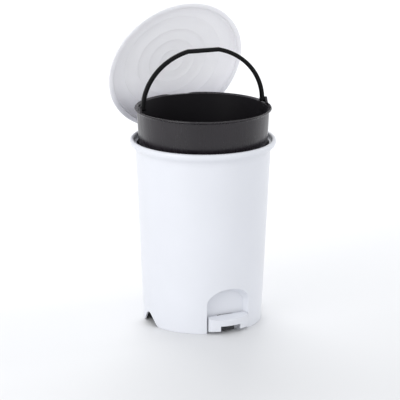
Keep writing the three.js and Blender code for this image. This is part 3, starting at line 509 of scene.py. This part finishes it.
# ---- Lid -------------------------------------------------------------------------------------
def crown(radius):
    """Height of the lid's top: a shallow dome, one step higher inside each ring."""
    steps = sum(radius < ring for ring in LID_RINGS)
    return CROWN_BASE + RING_STEP * steps + CROWN_RISE * (1 - (radius / CROWN_RADIUS) ** 2)


def lid_profile():
    """Closed loop: outside from the band up over the crown, and back along the underside."""
    band = [(LID_INNER, LID_BOTTOM), (LID_RADIUS - 0.4, LID_BOTTOM), (LID_RADIUS, LID_BOTTOM + 0.4)]
    edge = [(LID_RADIUS, 267.9), (LID_RADIUS - 0.5, 268.5), (101.3, 268.8), (100.7, 269.4)]
    shoulder = [(100.3, 272), (99.7, 275), (98.4, 277.4), (96.4, 279.2), (93.6, 280.4)]
    over = band + edge + shoulder
    under = [(LID_INNER, LID_BOTTOM + 0.6), (LID_INNER, 272.2), (97.6, 274.6), (96.2, 276.6),
             (93.8, 278.2), (91.6, 278.9)]
    for ring in LID_RINGS:
        start = CROWN_RADIUS if ring == LID_RINGS[0] else ring + 11
        over += [(r, crown(r)) for r in (start, ring + 4, ring + 0.5, ring - 0.5)]
        under += [(start, crown(start) - LID_WALL), (ring + 1.2, crown(ring + 1.2) - LID_WALL)]
        under += [(ring + 0.2, crown(ring + 0.2) - 2.1), (ring - 1.0, crown(ring - 1.0) - LID_WALL)]
    over += [(r, crown(r)) for r in (8, 0)]
    under += [(r, crown(r) - LID_WALL) for r in (8, 0)]
    return over + under[::-1]


def lid():
    shell = lathe("lid_shell", lid_profile())
    tab = block("tab", (-21, 21), (96, 113), (LID_BOTTOM + 0.2, 270))
    combine(tab, "DIFFERENCE", rod("round", 99.6, "z", 260, 280, 0, 0, SEGMENTS))
    combine(shell, "UNION", tab)
    turn = (Matrix.Translation((0, HINGE_Y, HINGE_Z)) @ Matrix.Rotation(-LID_OPEN, 4, "X")
            @ Matrix.Translation((0, -HINGE_Y, -HINGE_Z)))
    settle(shell, "lid", "lid", PEARL, turn)
    bevel(shell, 0.4, 2, 40)


# ---- Inner bucket ----------------------------------------------------------------------------
def bucket_profile():
    """Closed loop: outside from the floor up to the flange, and down the inside to the floor."""
    top, bottom, wall, heel = BUCKET_TOP, BUCKET_BOTTOM, BUCKET_WALL, BUCKET_HEEL
    low = BUCKET_RADIUS - BUCKET_TAPER * (top - bottom - heel)
    foot = [(0, bottom), (low - heel, bottom)] + arc(low - heel, bottom + heel, heel, -80, 0, 6)
    under = [(BUCKET_RADIUS + out, top - down) for out, down in UNDER_FLANGE]
    edge = [(FLANGE_RADIUS - inwards, top - down) for inwards, down in FLANGE_EDGE]
    funnel = [(BUCKET_RADIUS - inwards, top - down) for inwards, down in FLANGE_FUNNEL]
    inner_heel = arc(low - wall - heel, bottom + wall + heel, heel, 0, -80, 6)
    floor = [(low - wall, bottom + 6)] + inner_heel + [(low - 6, bottom + wall), (0, bottom + wall)]
    return foot + under + edge + funnel + floor


def pivot_ear(side):
    xs = sorted((side * (BAIL_OUTER + EAR_GAP), side * (FLANGE_RADIUS - 0.2)))
    outline = EAR_ROOT + arc(0, EAR_CENTRE, EAR_RADIUS, 5, 175, 14)
    return prism("ear", [(y, BUCKET_TOP + z) for y, z in outline], "x", *xs)


def rear_dip():
    outline = [(-x, z) for x, z in reversed(REAR_DIP)] + REAR_DIP
    return prism("dip", [(x, BUCKET_TOP + z) for x, z in outline], "y", 70, 110)


def bucket():
    """The bucket is glossy outside. Its inward faces and its inner floor are matt."""
    made = lathe("bucket_shell", bucket_profile())
    combine(made, "UNION", pivot_ear(1), pivot_ear(-1))
    combine(made, "DIFFERENCE", rear_dip(), rod("pivot", PIN_BORE, "x", -110, 110, 0, BAIL_PIVOT_Z))
    settle(made, "bucket", "inner_bucket", CHARCOAL, BUCKET_TURN)
    made.data.materials.append(CHARCOAL_MATT)
    for face in made.data.polygons:
        outward = Vector((face.center.x, face.center.y - AXIS_Y, 0)).normalized()
        on_floor = face.normal.z > 0.3 and face.center.z < (BUCKET_TOP - 10) * MM
        face.material_index = 1 if on_floor or face.normal.dot(outward) < -0.7 else 0
    bevel(made, 0.4, 2)


# ---- Bail ------------------------------------------------------------------------------------
def bail_side(half_width, rise):
    """One side of the bail from its grip down to its pivot: an ellipse that meets the flat grip."""
    start = math.asin(BAIL_GRIP_HALF / half_width)
    points = []
    for i in range(CURVE_STEPS + 1):
        angle = start + (math.pi / 2 - start) * i / CURVE_STEPS
        height = BAIL_PIVOT_Z + rise * math.cos(angle) / math.cos(start)
        points.append((half_width * math.sin(angle), height))
    return points


def bail_section(outer, inner):
    """A rounded bar's cross-section between a point on its outer edge and one on its inner edge."""
    def squarer(value):
        return math.copysign(abs(value) ** BAIL_ROUNDNESS, value)
    loop = []
    for across, depth in circle(1, BAIL_SIDES):
        t = (1 + squarer(across)) / 2
        x, z = (i + (o - i) * t for o, i in zip(outer, inner))
        loop.append((x, squarer(depth) * BAIL_DEPTH / 2, z))
    return loop


def bail():
    """A rounded bar from pivot to pivot, with a round boss and pin at each end."""
    outer = bail_side(BAIL_OUTER, BAIL_RISE)
    inner = bail_side(BAIL_OUTER - BAIL_THICKNESS, BAIL_RISE - BAIL_THICKNESS)
    right = list(zip(outer, inner))
    left = [((-a[0], a[1]), (-b[0], b[1])) for a, b in reversed(right)]
    made = loft("bail_bar", [bail_section(*edges) for edges in left + right])
    for side in (-1, 1):
        boss = sorted((side * (BAIL_OUTER - BAIL_THICKNESS), side * BAIL_OUTER))
        pin = sorted((side * (BAIL_OUTER - BAIL_THICKNESS + 1), side * (FLANGE_RADIUS - 0.3)))
        combine(made, "UNION", rod("boss", BOSS_RADIUS, "x", *boss, 0, BAIL_PIVOT_Z),
                rod("pin", PIN_RADIUS, "x", *pin, 0, BAIL_PIVOT_Z))
    settle(made, "bail", "bail_handle", BLACK, BUCKET_TURN)
    bevel(made, 0.3, 2)


# ---- Carried-over CAD pieces -----------------------------------------------------------------
def dress_cad():
    """Small hardware keeps its CAD mesh, with soft edges and the material of its slot."""
    slots = {part["node"]: part["material_slot"] for part in frame["record"]["subparts"]}
    for name, obj in frame["nodes"].items():
        if obj.hide_render:
            continue
        if not obj.material_slots:
            obj.data.materials.append(None)
        for holder in obj.material_slots:
            holder.link = "OBJECT"
            holder.material = SLOT_MATERIALS[slots[name]]
        bevel(obj, 0.15 if slots[name] == "steel" else 0.35, 2, 40)


# ---- Stage, in metres ------------------------------------------------------------------------
VIEW_AZIMUTH = math.radians(-26.6)
CAMERA_DISTANCE = 3.0
CAMERA_HEIGHT = 1.0026
CAMERA_PITCH = math.radians(15.446)
CAMERA_YAW = math.radians(0.078)
CAMERA_ROLL = math.radians(0.15)
LENS = 195.56
FLOOR_SIZE = 8
WORLD_COLOUR = (0.97, 0.98, 1.0, 1)
WORLD_STRENGTH = 0.86


def camera():
    data = bpy.data.cameras.new("camera")
    data.lens = LENS
    data.sensor_width = 36
    data.clip_end = 50
    made = bpy.data.objects.new("camera", data)
    bpy.context.scene.collection.objects.link(made)
    back = Vector((math.sin(VIEW_AZIMUTH), -math.cos(VIEW_AZIMUTH), 0))
    place = Vector((0, AXIS_Y, 0)) + back * CAMERA_DISTANCE + Vector((0, 0, CAMERA_HEIGHT))
    turn = (Matrix.Rotation(VIEW_AZIMUTH + CAMERA_YAW, 4, "Z")
            @ Matrix.Rotation(math.pi / 2 - CAMERA_PITCH, 4, "X")
            @ Matrix.Rotation(CAMERA_ROLL, 4, "Z"))
    made.matrix_world = Matrix.Translation(place) @ turn
    bpy.context.scene.camera = made


def area_light(name, place, target, size, power):
    data = bpy.data.lights.new(name, "AREA")
    data.shape = "RECTANGLE"
    data.size, data.size_y = size
    data.energy = power
    made = bpy.data.objects.new(name, data)
    made.location = place
    made.rotation_euler = (Vector(target) - Vector(place)).to_track_quat("-Z", "Y").to_euler()
    bpy.context.scene.collection.objects.link(made)


def floor():
    bm = bmesh.new()
    bmesh.ops.create_grid(bm, x_segments=8, y_segments=8, size=FLOOR_SIZE)
    made = as_object(bm, "floor")
    made.data.materials.append(pale_floor())


def light():
    world = bpy.data.worlds.new("studio")
    bpy.context.scene.world = world
    world.use_nodes = True
    background = world.node_tree.nodes["Background"]
    background.inputs["Color"].default_value = WORLD_COLOUR
    background.inputs["Strength"].default_value = WORLD_STRENGTH
    area_light("key", (-2.3, -1.0, 0.8), (0, 0, 0.2), (1.6, 1.6), 20)
    area_light("back", (0.6, 2.4, 2.2), (0, 0.6, 0), (2.4, 1.6), 38)
    area_light("front", (0.3, -2.4, 0.9), (0, 0, 0.25), (2.2, 1.6), 3.2)
    area_light("right", (2.4, -0.2, 1.1), (0, 0, 0.2), (0.35, 1.5), 6)
    bpy.context.scene.view_settings.view_transform = "Standard"


outer_body()
pedal_pad()
lid()
bucket()
bail()
dress_cad()
camera()
floor()
light()
